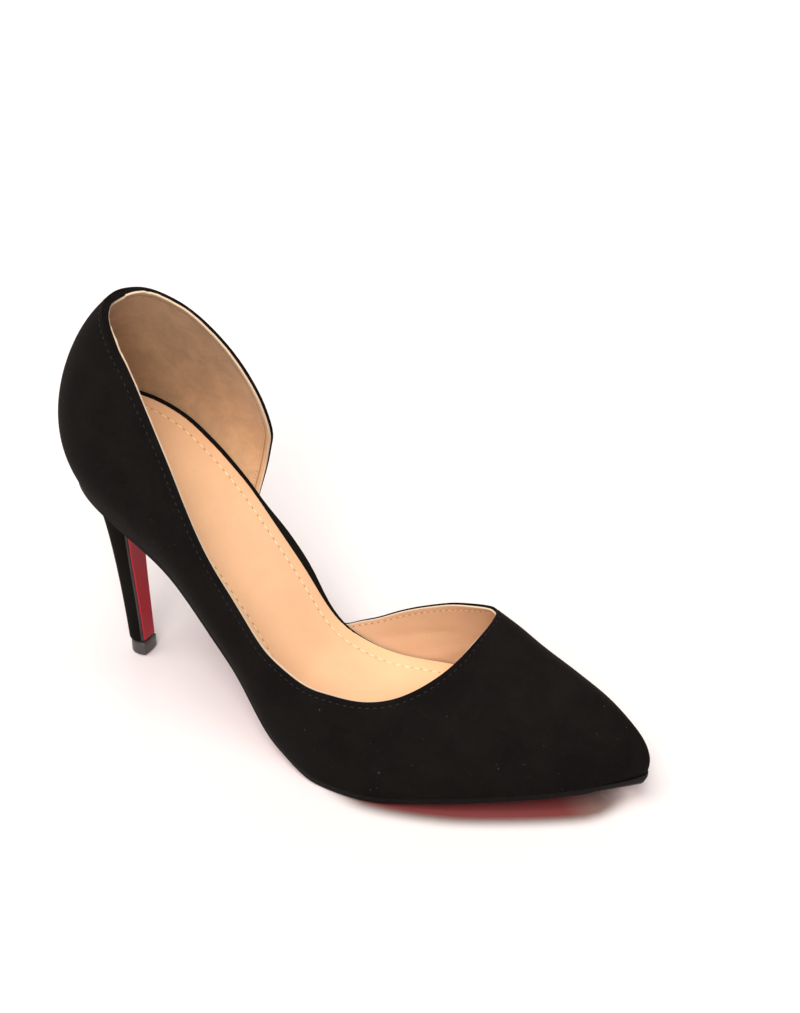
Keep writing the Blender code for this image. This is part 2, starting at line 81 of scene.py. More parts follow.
class PumpSizes(bpy.types.PropertyGroup):
    """Sizes of what is sewn or glued on the solids."""

    suede: length("Suede", "Thickness of the suede at the sides", 0.0012)
    vamp_suede: length("Vamp suede", "Thickness of the suede edge on the vamp", 0.0006)
    collar: length("Collar", "Thickness of the turned suede edge at the back of the collar", 0.0028)
    heel_lining: length("Heel lining", "Thickness of the napped heel lining", 0.0007)
    lining: length("Front lining", "Thickness of the smooth front lining", 0.0006)
    lap: length("Lap", "Step where the front lining laps over the heel lining", 0.0004)
    notch: length("Notch", "Step in the lining's cut edge at the back of the collar", 0.0024)
    notch_place: length("Notch place", "Place of that step across the shoe", 0.0088)
    edge_rise: length("Edge rise", "Rise of the lining's cut edge over the suede on the outer side", 0.0003)
    cut_edge: length("Cut edge", "Width of the pale strip along the lining's cut edge", 0.0004)
    row: length("Edge row", "Distance of the stitch row from the topline", 0.0021)
    inner_row: length("Lining row", "Distance of the lining stitch row from the edge", 0.0022)
    rear_row: length("Rear row", "Distance of that row from the edge at the vamp's rear end", 0.0011)
    dotted_row: length("Dotted row", "Distance of the dotted row from the counter's front edge", 0.0030)
    sock_row: length("Sock row", "Distance of the sock's stitch row from its edge", 0.0047)
    waist_row: length("Waist row", "How much further in that row runs on the outer side of the waist", 0.0089)
    seam: length("Seam", "Place of the upright lining seam along the shoe", -0.043)
    lining_end: length("Lining end", "Place inside the toe where the front lining ends", 0.082)
    # Partly painted shade: the raised black roll also stands for the shadow gap beside the sock
    roll: length("Board roll", "Rise of the board's rolled edge inside the heel", 0.0015)
    bevel: length("Sole bevel", "Width of the bevel under the sole's edge", 0.0005)
    toe_round: length("Toe round", "Rounding of the sole's edge at the tip", 0.0028)
    toe_drop: length("Toe drop", "How far the sole's lower edge hangs down at the tip", 0.0009)
    toe_tuck: length("Toe tuck", "How far the upper draws in over the sole's tip", 0.0013)


class PumpColours(bpy.types.PropertyGroup):
    """Colours of the materials."""

    suede: colour("Suede", "Black nap", (0.0038, 0.0029, 0.0027))
    suede_light: colour("Suede light", "Nap brushed the other way", (0.0078, 0.0064, 0.0056))
    nap_lining: colour("Heel lining", "Napped heel lining", (0.405, 0.235, 0.124))
    smooth_lining: colour("Front lining", "Smooth leather lining", (0.58, 0.36, 0.217))
    sock: colour("Sock", "Smooth sock leather", (0.74, 0.432, 0.238))
    raw: colour("Raw edge", "Cut edge of the lining", (0.60, 0.45, 0.31))
    pale_thread: colour("Pale thread", "Thread of the sock", (0.86, 0.65, 0.41))
    tan_thread: colour("Tan thread", "Thread of the linings", (0.70, 0.46, 0.27))
    # Painted shade: the dark colour of the stitch holes stands for the shade inside them
    pinhole_shade: colour("Pinhole shade", "Shaded hole between two stitches", (0.26, 0.13, 0.06))
    dark_thread: colour("Dark thread", "Thread of the suede", (0.0105, 0.0107, 0.0100))
    red: colour("Red", "Lacquer of the sole and the breast", (0.29, 0.004, 0.014))
    edge: colour("Edge", "Painted edge of the sole", (0.0055, 0.0048, 0.0045))
    # Painted highlight: the grey of the sole's bevel stands for the gloss on it
    bevel: colour("Bevel", "Grey edge and painted highlight of the sole's edge", (0.046, 0.041, 0.039))
    tip: colour("Tip", "Heel tip", (0.034, 0.027, 0.025))


def sizes():
    return bpy.context.scene.pump_sizes


def colours():
    return bpy.context.scene.pump_colours


# Node helpers

VECTOR, COLOUR, VALUE = "NodeSocketVector", "NodeSocketColor", "NodeSocketFloat"
MIX_FACTOR, MIX_A, MIX_B, MIX_RESULT = 0, 6, 7, 2  # places of the sockets


def fed(tree, socket, value):
    """Links a socket to another one, or sets it to a number or a colour."""
    if hasattr(value, "is_linked"):
        tree.links.new(value, socket)
    else:
        socket.default_value = (*value, 1.0) if hasattr(value, "__len__") else value


def feed(tree, node, **values):
    """Feeds the named inputs of a node."""
    for label, value in values.items():
        fed(tree, node.inputs[label.replace("_", " ")], value)
    return node


def object_place(tree):
    return tree.nodes.new("ShaderNodeTexCoord").outputs["Object"]


def object_axes(tree):
    """The place on the piece as X, Y and Z."""
    split = tree.nodes.new("ShaderNodeSeparateXYZ")
    return feed(tree, split, Vector=object_place(tree)).outputs


def held(tree, name):
    """Value of one of the piece's own attributes."""
    node = tree.nodes.new("ShaderNodeAttribute")
    node.attribute_name = name
    return node.outputs["Fac"]


def noise(tree, vector, scale, detail=3.0, roughness=0.55, distortion=0.0):
    node = tree.nodes.new("ShaderNodeTexNoise")
    feed(tree, node, Vector=vector, Scale=scale, Detail=detail, Roughness=roughness, Distortion=distortion)
    return node.outputs["Fac"]


def span(tree, value, low, high, to_low=0.0, to_high=1.0):
    node = tree.nodes.new("ShaderNodeMapRange")
    feed(tree, node, Value=value, From_Min=low, From_Max=high, To_Min=to_low, To_Max=to_high)
    return node.outputs["Result"]


def maths(tree, operation, a, b):
    node = tree.nodes.new("ShaderNodeMath")
    node.operation = operation
    for socket, value in zip(node.inputs, (a, b)):
        fed(tree, socket, value)
    return node.outputs[0]


def plus(tree, a, b):
    return maths(tree, "ADD", a, b)


def times(tree, result, *others):
    for other in others:
        result = maths(tree, "MULTIPLY", result, other)
    return result


def mixed(tree, factor, a, b):
    node = tree.nodes.new("ShaderNodeMix")
    node.data_type = "RGBA"
    for place, value in ((MIX_FACTOR, factor), (MIX_A, a), (MIX_B, b)):
        fed(tree, node.inputs[place], value)
    return node.outputs[MIX_RESULT]


def new_group(name, inputs, outputs):
    """Shader node group with its ends; an input given as a number starts at that number."""
    group = bpy.data.node_groups.new(name, "ShaderNodeTree")
    for in_out, sockets in (("INPUT", inputs), ("OUTPUT", outputs)):
        for label, kind in sockets.items():
            named = isinstance(kind, str)
            socket = group.interface.new_socket(label, in_out=in_out, socket_type=kind if named else VALUE)
            if not named:
                socket.default_value = kind
    return group, group.nodes.new("NodeGroupInput").outputs, group.nodes.new("NodeGroupOutput")


def nap_group():
    """Short nap: fine fibre, brushed patches and dust."""
    group, given, end = new_group(
        "Nap",
        {
            "Vector": VECTOR, "Dark": COLOUR, "Light": COLOUR, "Dust": COLOUR,
            "Fibre": 2600.0, "Patch": 60.0, "Dust Amount": 0.35,
        },
        {"Colour": COLOUR, "Height": VALUE, "Patches": VALUE},
    )
    vector = given["Vector"]
    fibre = noise(group, vector, given["Fibre"], detail=4.0, roughness=0.6)
    patch = noise(group, vector, given["Patch"], detail=4.0, roughness=0.6, distortion=0.6)
    brushed = span(group, patch, 0.36, 0.66)
    fine = span(group, fibre, 0.3, 0.7)
    blend = plus(group, times(group, brushed, 0.65), times(group, fine, 0.35))
    tone = mixed(group, blend, given["Dark"], given["Light"])
    speck = span(group, noise(group, vector, 900.0, detail=1.0, roughness=0.4), 0.765, 0.80)
    where = span(group, noise(group, vector, 35.0, detail=2.0), 0.45, 0.7)
    dust = times(group, speck, where, given["Dust Amount"])
    feed(
        group, end, Colour=mixed(group, dust, tone, given["Dust"]),
        Height=plus(group, fibre, times(group, patch, 0.5)), Patches=brushed
    )
    return group


def grain_group():
    """Smooth leather: fine grain and cloudy tone."""
    group, given, end = new_group(
        "Grain",
        {"Vector": VECTOR, "Dark": COLOUR, "Light": COLOUR, "Cells": 1500.0, "Cloud": 45.0},
        {"Colour": COLOUR, "Height": VALUE, "Clouds": VALUE},
    )
    vector = given["Vector"]
    cells = group.nodes.new("ShaderNodeTexVoronoi")
    cells.feature = "DISTANCE_TO_EDGE"
    feed(group, cells, Vector=vector, Scale=given["Cells"])
    pebble = span(group, cells.outputs["Distance"], 0.0, 0.25)
    cloud = noise(group, vector, given["Cloud"], detail=4.0, roughness=0.6, distortion=0.4)
    clouds = span(group, cloud, 0.35, 0.68)
    fine = noise(group, vector, 800.0)
    tone = plus(group, times(group, clouds, 0.8), span(group, fine, 0.3, 0.7, 0.0, 0.2))
    feed(
        group, end, Colour=mixed(group, tone, given["Dark"], given["Light"]),
        Height=plus(group, pebble, times(group, fine, 0.8)), Clouds=clouds
    )
    return group


def groove_group():
    """Pressed line at a distance from an edge, as a bell curve."""
    group, given, end = new_group(
        "Groove", {"Distance": VALUE, "Place": VALUE, "Width": VALUE}, {"Mask": VALUE}
    )
    away = maths(group, "SUBTRACT", given["Distance"], given["Place"])
    share = maths(group, "DIVIDE", away, given["Width"])
    one_over_e = 0.3679
    feed(group, end, Mask=maths(group, "POWER", one_over_e, times(group, share, share)))
    return group


EFFECTS = {"Nap": nap_group, "Grain": grain_group, "Groove": groove_group}


def placed(tree, effect, **values):
    """Shared effect in a material, with its own values."""
    node = tree.nodes.new("ShaderNodeGroup")
    node.node_tree = bpy.data.node_groups.get(effect) or EFFECTS[effect]()
    if "Vector" in node.inputs:
        values["Vector"] = object_place(tree)
    return feed(tree, node, **values).outputs


def blank_material(name, **values):
    """Material with a Principled shader and its constant values."""
    if name in bpy.data.materials:
        return bpy.data.materials[name], None, None
    material = bpy.data.materials.new(name)
    material.use_nodes = True
    tree = material.node_tree
    return material, tree, feed(tree, tree.nodes["Principled BSDF"], **values)


def bumped(tree, shader, height, strength, distance):
    bump = tree.nodes.new("ShaderNodeBump")
    feed(tree, bump, Strength=strength, Distance=distance, Height=height)
    feed(tree, shader, Normal=bump.outputs["Normal"])


def toned(value, share):
    return tuple(channel * share for channel in value)


def cut_edge(tree):
    """Mask of the pale strip along a cut edge."""
    width = sizes().cut_edge
    return span(tree, held(tree, "rim"), width * 1.4, width * 0.8)


def groove(tree, place, width, name="rim"):
    """Pressed line at a distance from the piece's own edge or row."""
    return placed(tree, "Groove", Distance=held(tree, name), Place=place, Width=width)["Mask"]


def pressed(tree, height, mask, depth):
    return maths(tree, "SUBTRACT", height, times(tree, mask, depth))


# Materials

# Painted light and shade: the heel lining is painted darker at the back of the cup and paler towards the
# front, along a slanted line
NAP_SHADE_SLANT = 0.6
NAP_SHADE_FADE = (-0.142, -0.094)


def suede_material(name="Black suede", row=0.0):
    material, tree, shader = blank_material(
        name, Roughness=0.92, Specular_IOR_Level=0.04,
        Sheen_Weight=0.025, Sheen_Roughness=0.35, Sheen_Tint=(0.60, 0.52, 0.48)
    )
    if tree:
        nap = placed(tree, "Nap", Dark=colours().suede, Light=colours().suede_light, Dust=(0.14, 0.135, 0.13))
        wear = span(tree, nap["Patches"], 0.0, 1.0, 0.86, 0.98)
        feed(tree, shader, Base_Color=nap["Colour"], Roughness=wear)
        height = nap["Height"]
        if row:
            height = pressed(tree, height, groove(tree, row, width=0.0005), depth=1.4)
        bumped(tree, shader, height, strength=0.55, distance=0.00035)
    return material


def nap_lining_material():
    material, tree, shader = blank_material(
        "Napped lining", Roughness=0.9, Specular_IOR_Level=0.12,
        Sheen_Weight=0.2, Sheen_Roughness=0.5, Sheen_Tint=(1.0, 0.9, 0.8)
    )
    if tree:
        tone = colours().nap_lining
        axes = object_axes(tree)
        slant = maths(tree, "SUBTRACT", axes["X"], times(tree, axes["Z"], NAP_SHADE_SLANT))
        # painted shade at the back of the cup, painted light towards the front
        front = span(tree, slant, *NAP_SHADE_FADE)
        nap = placed(
            tree, "Nap", Dust=(0.7, 0.6, 0.5), Patch=150.0, Dust_Amount=0.10,
            Dark=mixed(tree, front, toned(tone, 0.72), toned(tone, 1.22)),
            Light=mixed(tree, front, toned(tone, 1.00), toned(tone, 1.58))
        )
        line = groove(tree, place=0.0019, width=0.0003)
        # painted shade: the colour darkens along the pressed line and stands for the shadow in it; the bump
        # is the groove itself
        tint = mixed(tree, times(tree, line, 0.7), nap["Colour"], toned(tone, 0.45))
        feed(tree, shader, Base_Color=mixed(tree, cut_edge(tree), tint, colours().raw))
        height = pressed(tree, nap["Height"], line, depth=0.9)
        bumped(tree, shader, height, strength=0.5, distance=0.0004)
    return material


def leather_material(name, tone, roughness, cells, strength, press=0.0, pale=False):
    material, tree, shader = blank_material(name, Roughness=roughness, Specular_IOR_Level=0.3)
    if tree:
        grain = placed(tree, "Grain", Dark=toned(tone, 0.93), Light=toned(tone, 1.03), Cells=cells)
        tint = grain["Colour"]
        height = grain["Height"]
        if press:
            # painted shade: the colour darkens along the pressed row and stands for the shade in its groove
            line = groove(tree, place=0.0, width=0.00035, name="row")
            tint = mixed(tree, times(tree, line, 0.35), tint, toned(tone, 0.6))
            height = pressed(tree, height, groove(tree, place=0.0, width=0.0007, name="row"), press)
        if pale:
            tint = mixed(tree, cut_edge(tree), tint, colours().raw)
        wear = span(tree, grain["Clouds"], 0.0, 1.0, roughness - 0.05, roughness + 0.07)
        feed(tree, shader, Base_Color=tint, Roughness=wear)
        bumped(tree, shader, height, strength, distance=0.0003)
    return material


def lacquer_material():
    material, tree, shader = blank_material(
        "Red lacquer", Roughness=0.30, Coat_Weight=0.08, Coat_Roughness=0.15, Specular_IOR_Level=0.15
    )
    if tree:
        tone = colours().red
        grain = placed(tree, "Grain", Dark=toned(tone, 0.88), Light=toned(tone, 1.06), Cloud=30.0)
        place = object_place(tree)
        wear = span(tree, noise(tree, place, 35.0), 0.2, 0.8, 0.25, 0.38)
        feed(tree, shader, Base_Color=grain["Colour"], Roughness=wear)
        bumped(tree, shader, noise(tree, place, 90.0, detail=2.0), strength=0.06, distance=0.0002)
    return material


def paint_material(name, tone, roughness, level):
    material, tree, shader = blank_material(name, Roughness=roughness, Specular_IOR_Level=level)
    if tree:
        grain = placed(
            tree, "Grain", Dark=toned(tone, 0.8), Light=toned(tone, 1.25), Cells=900.0, Cloud=120.0
        )
        wear = span(tree, grain["Clouds"], 0.0, 1.0, roughness - 0.08, roughness + 0.1)
        feed(tree, shader, Base_Color=grain["Colour"], Roughness=wear)
        bumped(tree, shader, grain["Height"], strength=0.12, distance=0.0001)
    return material


# grey on the sole's bevel is a painted highlight for the gloss on it; on the heel's breast margin it is a
# grey edge
def grey_edge_and_highlight_material():
    return paint_material("Grey edge and painted highlight", colours().bevel, roughness=0.45, level=0.3)


def thread_material(name, tone):
    material, tree, shader = blank_material(name, Roughness=0.75, Specular_IOR_Level=0.2)
    if tree:
        nap = placed(
            tree, "Nap", Dark=toned(tone, 0.85), Light=toned(tone, 1.1), Dust=tone, Fibre=6000.0, Patch=400.0
        )
        feed(tree, shader, Base_Color=nap["Colour"])
        bumped(tree, shader, nap["Height"], strength=0.4, distance=0.0001)
    return material


# Modelling helpers: x runs to the toe, y to the inner side and z up, in metres

MERGE = 0.00001  # points nearer than this are one
RIM_TURN = 48.0  # degrees of the sharp turn at which the outside of the shell ends
ON_SOLE = 0.0009  # an edge nearer the sole than this is no topline
ROW_SMOOTHING = 3
EDGE_STEP = 0.0003  # between the points of an edge that distances are taken from
LOOKS_DOWN = -0.3  # highest upward share of the normal on an underside


def deselect():
    bpy.ops.object.select_all(action="DESELECT")


def only(piece):
    """Selects one object and makes it active."""
    deselect()
    piece.select_set(True)
    bpy.context.view_layer.objects.active = piece


def enter(piece):
    only(piece)
    bpy.ops.object.mode_set(mode="EDIT")


def leave():
    bpy.ops.object.mode_set(mode="OBJECT")


def copied(node, name):
    """Merged copy of a solid, with quads where its triangles pair up."""
    source = frame["nodes"][node]
    hidden = source.hide_viewport
    source.hide_viewport = False
    only(source)
    bpy.ops.object.duplicate()
    piece = bpy.context.active_object
    source.hide_viewport = hidden
    piece.hide_render = False
    piece.parent = None
    piece.matrix_world = Matrix.Identity(4)
    for key in list(piece.keys()):
        del piece[key]
    piece.name = piece.data.name = name
    piece.data.materials.clear()
    enter(piece)
    choose_all()
    bpy.ops.mesh.customdata_custom_splitnormals_clear()
    bpy.ops.mesh.remove_doubles(threshold=MERGE)
    bpy.ops.mesh.tris_convert_to_quads(face_threshold=0.7, shape_threshold=1.3)
    leave()
    return piece


def applied(piece, kind, **values):
    """Adds a modifier with its values and applies it."""
    only(piece)
    modifier = piece.modifiers.new(kind.lower(), kind)
    for label, value in values.items():
        setattr(modifier, label, value)
    if kind == "SUBSURF":
        modifier.render_levels = modifier.levels
    bpy.ops.object.modifier_apply(modifier=modifier.name)


def bevelled(piece, degrees, **values):
    """Rounds the edges that turn by more than an angle."""
    applied(piece, "BEVEL", limit_method="ANGLE", angle_limit=math.radians(degrees), **values)


def smoothed(piece, degrees):
    only(piece)
    bpy.ops.object.shade_smooth_by_angle(angle=math.radians(degrees))


def choose(piece, kind, keep):
    """Selects the faces or edges that a test picks, in edit mode."""
    enter(piece)
    bpy.ops.mesh.select_mode(type=kind)
    bpy.ops.mesh.select_all(action="DESELECT")
    mesh = bmesh.from_edit_mesh(piece.data)
    for item in mesh.faces if kind == "FACE" else mesh.edges:
        if keep(item):
            item.select_set(True)
    bmesh.update_edit_mesh(piece.data)


def choose_all():
    bpy.ops.mesh.select_all(action="SELECT")


def sharper(degrees):
    """Test for the edges at which a surface turns by more than an angle."""
    limit = math.radians(degrees)
    return lambda side: len(side.link_faces) == 2 and side.calc_face_angle(0.0) > limit


def creased(piece, degrees):
    """Keeps the sharp edges sharp when the piece is subdivided."""
    choose(piece, "EDGE", sharper(degrees))
    bpy.ops.transform.edge_crease(value=1.0)
    leave()


def subdivided(node, name, degrees):
    """Copy of a solid, rounded between its sharp edges."""
    piece = copied(node, name)
    creased(piece, degrees)
    applied(piece, "SUBSURF", levels=2)
    return piece


def finished(piece, slot, *materials, nodes=()):
    """Materials and body of a finished piece; the slot is not used."""
    for material in materials:
        piece.data.materials.append(material)
    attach(piece, "root")
    if nodes:
        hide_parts(*nodes)


def mesh_of(piece):
    mesh = bmesh.new()
    mesh.from_mesh(piece.data)
    return mesh


def tree_of(piece):
    mesh = mesh_of(piece)
    tree = BVHTree.FromBMesh(mesh)
    mesh.free()
    return tree


def normals_of(piece):
    return [vertex.normal.copy() for vertex in piece.data.vertices]


def under_faces(piece):
    """Faces of a layer that look down, told from its upright edge."""
    return {face.index for face in piece.data.polygons if face.normal.z < LOOKS_DOWN}


def outer_sheet(name):
    """Outside of the upper as an open, rounded sheet."""
    piece = copied("upper", name)
    outermost = min(piece.data.polygons, key=lambda face: face.center.y).index
    choose(piece, "FACE", lambda face: face.index == outermost)
    bpy.ops.mesh.faces_select_linked_flat(sharpness=math.radians(RIM_TURN))
    bpy.ops.mesh.select_all(action="INVERT")
    bpy.ops.mesh.delete(type="FACE")
    leave()
    applied(piece, "SUBSURF", levels=2)
    return piece


def open_edges(mesh):
    return [side for side in mesh.edges if len(side.link_faces) == 1]


def border_loop(border, first=None):
    """Vertices in their order round a closed border, from the one that a measure puts first."""
    ends = {}
    for side in border:
        for vertex in side.verts:
            ends.setdefault(vertex, []).append(side)
    start = max(ends, key=first) if first else border[0].verts[0]
    loop = [start]
    last = None
    while True:
        last = next(side for side in ends[loop[-1]] if side is not last)
        following = last.other_vert(loop[-1])
        if following is start:
            return loop
        loop.append(following)


def inward_way(vertex, faces, before, after):
    """Way from an edge into the faces beside it, square to the edge."""
    along = (after - before).normalized()
    inward = sum((face.calc_center_median() - vertex.co for face in faces), Vector())
    return inward - inward.dot(along) * along


def rim_path(sheet):
    """Topline from the inner counter's foot round to the vamp's rear end, with inward ways."""
    sole = tree_of(frame["nodes"]["outsole"])
    mesh = mesh_of(sheet)
    loop = border_loop(open_edges(mesh))
    low = [sole.find_nearest(vertex.co)[3] < ON_SOLE for vertex in loop]
    first = next(i for i in range(len(loop)) if low[i - 1] and not low[i])
    order = [*range(first, len(loop)), *range(first)]
    rim = [loop[i] for i in order if not low[i]]
    path = []
    for vertex, before, after in zip(rim, [rim[0], *rim], [*rim[1:], rim[-1]]):
        way = inward_way(vertex, vertex.link_faces, before.co, after.co)
        path.append((vertex.co.copy(), way.normalized()))
    mesh.free()
    if path[0][0].x > path[-1][0].x:
        path.reverse()
    return path


def inset_path(path, distance):
    """Row at a distance in from an edge, smoothed."""
    points = [place + way * (distance(place) if callable(distance) else distance) for place, way in path]
    for _ in range(ROW_SMOOTHING):
        middle = [(a + b * 2 + c) / 4 for a, b, c in zip(points, points[1:], points[2:])]
        points = [points[0], *middle, points[-1]]
    return points


def spaced(points, pitch):
    """Places one pitch apart along a row, with their directions."""
    places = []
    carry = pitch / 2
    for a, b in zip(points, points[1:]):
        run = (b - a).length
        while carry < run:
            places.append((a.lerp(b, carry / run), (b - a).normalized()))
            carry += pitch
        carry -= run
    return places


def stitch_template(pitch, thread, hole, materials):
    """One stitch: a thread lying along the row and the hole that it ends in."""
    deselect()
    parts = []
    for (long, wide, high), place, material in zip((thread, hole), (0.0, pitch / 2), materials):
        if not long:
            continue
        bpy.ops.mesh.primitive_uv_sphere_add(segments=6, ring_count=5, radius=0.5)
        part = bpy.context.active_object
        enter(part)
        choose_all()
        bpy.ops.transform.resize(value=(wide, high, long))
        bpy.ops.transform.translate(value=(0.0, 0.0, place))
        leave()
        bpy.ops.object.shade_smooth()
        part.data.materials.append(material)
        parts.append(part)
    return joined(parts)


def joined(parts):
    for part in parts:
        part.select_set(True)
    bpy.context.view_layer.objects.active = parts[0]
    if len(parts) > 1:
        bpy.ops.object.join()
    return bpy.context.active_object


def stitch_row(name, points, tree, materials, slot, stitch):
    """Row of stitches on a surface: one stitch is modelled and copied along the row."""
    pitch, sink, thread, hole = stitch
    first = stitch_template(pitch, thread, hole, materials)
    copies = []
    for place, along in spaced(points, pitch):
        found, normal, _, _ = tree.find_nearest(place)
        along = (along - along.dot(normal) * normal).normalized()
        across = normal.cross(along)
        turn = Matrix((across, normal, along)).transposed().to_4x4()
        turn.translation = found - normal * sink
        copy = first.copy()
        copy.data = first.data.copy()
        bpy.context.collection.objects.link(copy)
        copy.matrix_world = turn
        copies.append(copy)
    only(first)
    bpy.ops.object.delete()
    row = joined(copies)
    row.name = row.data.name = name
    bpy.ops.object.transform_apply()
    finished(row, slot)


def clamped(value):
    return min(max(value, 0.0), 1.0)


def rising(low, high, value):
    """Soft step from 0 at one value to 1 at another."""
    share = clamped((value - low) / (high - low))
    return share * share * (3 - 2 * share)


def store(piece, name, values):
    piece.data.attributes.new(name, "FLOAT", "POINT").data.foreach_set("value", values)


def edge_distance(piece, points):
    """Attribute that holds each vertex's distance from an edge."""
    tree = KDTree(len(points))
    for i, point in enumerate(points):
        tree.insert(point, i)
    tree.balance()
    values = [tree.find(vertex.co)[2] for vertex in piece.data.vertices]
    store(piece, "rim", values)
    return values


def path_distance(piece, path):
    """Distances from the edge that a path follows."""
    return edge_distance(piece, [place for place, _ in spaced([place for place, _ in path], EDGE_STEP)])


def row_distance(piece, values, inset):
    """Attribute that holds each vertex's distance from a sewn row."""
    away = [value - inset(vertex.co) for vertex, value in zip(piece.data.vertices, values)]
    store(piece, "row", away)


# Upper and linings: spans over which a change fades in, and other places

SUEDE_THINS = (-0.05, -0.01)
COLLAR_UP = (0.108, 0.134)
COLLAR_ACROSS = (0.022, 0.006)
REAR_ROW_ALONG = (0.03, -0.02)
RISE_ACROSS = (0.004, -0.004)
RISE_ALONG = (-0.02, -0.06)
EDGE_REACH = 0.006  # how far from the edge its rise and its notch are felt
NOTCH_ALONG = (-0.080, -0.098)
NOTCH_SLOPE = 0.0003
NOTCH_MESH = (0.132, 0.009)  # lowest place and reach of the finer mesh
FRAY_ABOVE = 0.10
FRAY = ((0.00010, 2100.0, 0.0), (0.00008, 3300.0, 1.0))  # waves across and along: depth, pace, start
LINING_GAP = 0.00005
SEAM_OVERLAP = 0.003
SEAM_ACROSS = -0.030
SEAM_WAY = (1.0, -0.22, 0.12)
# Soft folds in the front lining: place along, across and up, reach along and up, depth, turn
LINING_FOLDS = (
    (0.030, 0.034, 0.020, 0.020, 0.0026, 0.00032, 0.5),
    (0.020, 0.035, 0.026, 0.024, 0.0024, -0.00028, 0.35),
    (0.040, 0.033, 0.032, 0.016, 0.0026, 0.00032, 0.2),
    (0.008, -0.036, 0.022, 0.022, 0.0022, 0.00045, -0.2),
    (-0.010, -0.031, 0.030, 0.026, 0.0024, 0.0004, -0.5),
)


def suede_depth(place):
    """Thickness of the suede and its turned edge at one place."""
    size = sizes()
    front = rising(*SUEDE_THINS, place.x)
    collar = rising(*COLLAR_UP, place.z) * rising(*COLLAR_ACROSS, place.y)
    return size.suede + (size.vamp_suede - size.suede) * front + (size.collar - size.suede) * collar


def depth_group(piece):
    """Vertex group that holds the thickness of the suede as a share of the collar's."""
    group = piece.vertex_groups.new(name="depth")
    for vertex in piece.data.vertices:
        group.add([vertex.index], suede_depth(vertex.co) / sizes().collar, "REPLACE")


class PUMP_OT_upper(bpy.types.Operator):
    """Suede shell with a turned, rounded edge"""

    bl_idname = "pump.upper"
    bl_label = "Suede upper"

    def execute(self, context):
        size = sizes()
        piece = outer_sheet("upper_suede")
        tuck_toe(piece)
        path_distance(piece, rim_path(piece))
        depth_group(piece)
        applied(piece, "SOLIDIFY", thickness=size.collar, use_even_offset=True, vertex_group="depth")
        bevelled(piece, 60, width=0.0003, segments=3)
        piece.vertex_groups.clear()
        smoothed(piece, 50)
        finished(piece, "suede", suede_material("Stitched suede", size.row), nodes=("upper",))
        return {"FINISHED"}


class PUMP_OT_lining(bpy.types.Operator):
    """Napped heel lining and smooth front lining, with their cut edges and the lapped seam"""

    bl_idname = "pump.lining"
    bl_label = "Linings"

    def execute(self, context):
        size = sizes()
        raw = leather_material("Raw edge", colours().raw, roughness=0.8, cells=1400.0, strength=0.3)
        smooth = leather_material(
            "Front lining", colours().smooth_lining, roughness=0.5, cells=1700.0, strength=0.14,
            press=4.0, pale=True
        )
        napped = nap_lining_material()
        for name, material, front in (("lining_heel", napped, False), ("lining_front", smooth, True)):
            piece = outer_sheet(name)
            if not front:
                choose(piece, "FACE", by_the_notch)
                bpy.ops.mesh.subdivide(number_cuts=3)
                leave()
            values = path_distance(piece, rim_path(piece))
            if front:
                row_distance(piece, values, lining_inset)
            depth_group(piece)
            applied(piece, "DISPLACE", mid_level=0.0, strength=-size.collar, vertex_group="depth")
            piece.vertex_groups.clear()
            lining_edge(piece, values, not front)
            enter(piece)
            choose_all()
            bpy.ops.transform.shrink_fatten(value=-(LINING_GAP + (size.lap if front else 0.0)))
            seam = size.seam - (SEAM_OVERLAP if front else 0.0)
            bpy.ops.mesh.bisect(
                plane_co=(seam, SEAM_ACROSS, 0.0), plane_no=SEAM_WAY, clear_inner=front, clear_outer=not front
            )
            if front:
                choose_all()
                bpy.ops.mesh.bisect(
                    plane_co=(size.lining_end, 0.0, 0.0), plane_no=(1.0, 0.0, 0.0), clear_outer=True
                )
            leave()
            if front:
                lining_creases(piece)
            thickness = size.lining if front else size.heel_lining
            applied(piece, "SOLIDIFY", thickness=thickness, material_offset_rim=1)
            smoothed(piece, 50)
            finished(piece, "sock_leather", material, raw)
        return {"FINISHED"}


def lining_inset(place):
    """Distance of the front lining's row from the edge at one place."""
    size = sizes()
    rear = rising(*REAR_ROW_ALONG, place.x) if place.y > 0 else 0.0
    return size.inner_row + (size.rear_row - size.inner_row) * rear


def by_the_notch(face):
    """Tells the faces round the notch, which get a finer mesh."""
    lowest, reach = NOTCH_MESH
    middle = face.calc_center_median()
    return middle.z > lowest and abs(middle.y - sizes().notch_place) < reach


def lining_edge(piece, values, notched):
    """Lifts the cut edge on the outer side, and steps and frays it at the back of the collar."""
    size = sizes()
    for vertex, normal, away in zip(piece.data.vertices, normals_of(piece), values):
        near = max(1 - away / EDGE_REACH, 0.0)
        if near == 0.0:
            continue
        x, y, z = vertex.co
        lift = size.edge_rise * rising(*RISE_ACROSS, y) * rising(*RISE_ALONG, x)
        if notched and z > FRAY_ABOVE:
            side = rising(size.notch_place + NOTCH_SLOPE, size.notch_place - NOTCH_SLOPE, y)
            lift -= size.notch * side * rising(*NOTCH_ALONG, x)
            for place, (depth, pace, start) in zip((y, x), FRAY):
                lift -= depth * math.sin(place * pace + start)
        up = Vector((0.0, 0.0, 1.0))
        up -= up.dot(normal) * normal
        vertex.co += up * near * lift


def lining_creases(piece):
    """Presses soft folds into the lining along its own normals."""
    for vertex, normal in zip(piece.data.vertices, normals_of(piece)):
        for x, y, z, reach, wide, depth, turn in LINING_FOLDS:
            if vertex.co.y * y < 0:
                continue
            dx = vertex.co.x - x
            dz = vertex.co.z - z - turn * dx
            share = math.exp(-((dx / reach) ** 2) - (dz / wide) ** 2)
            vertex.co -= normal * depth * share


# Board and sock

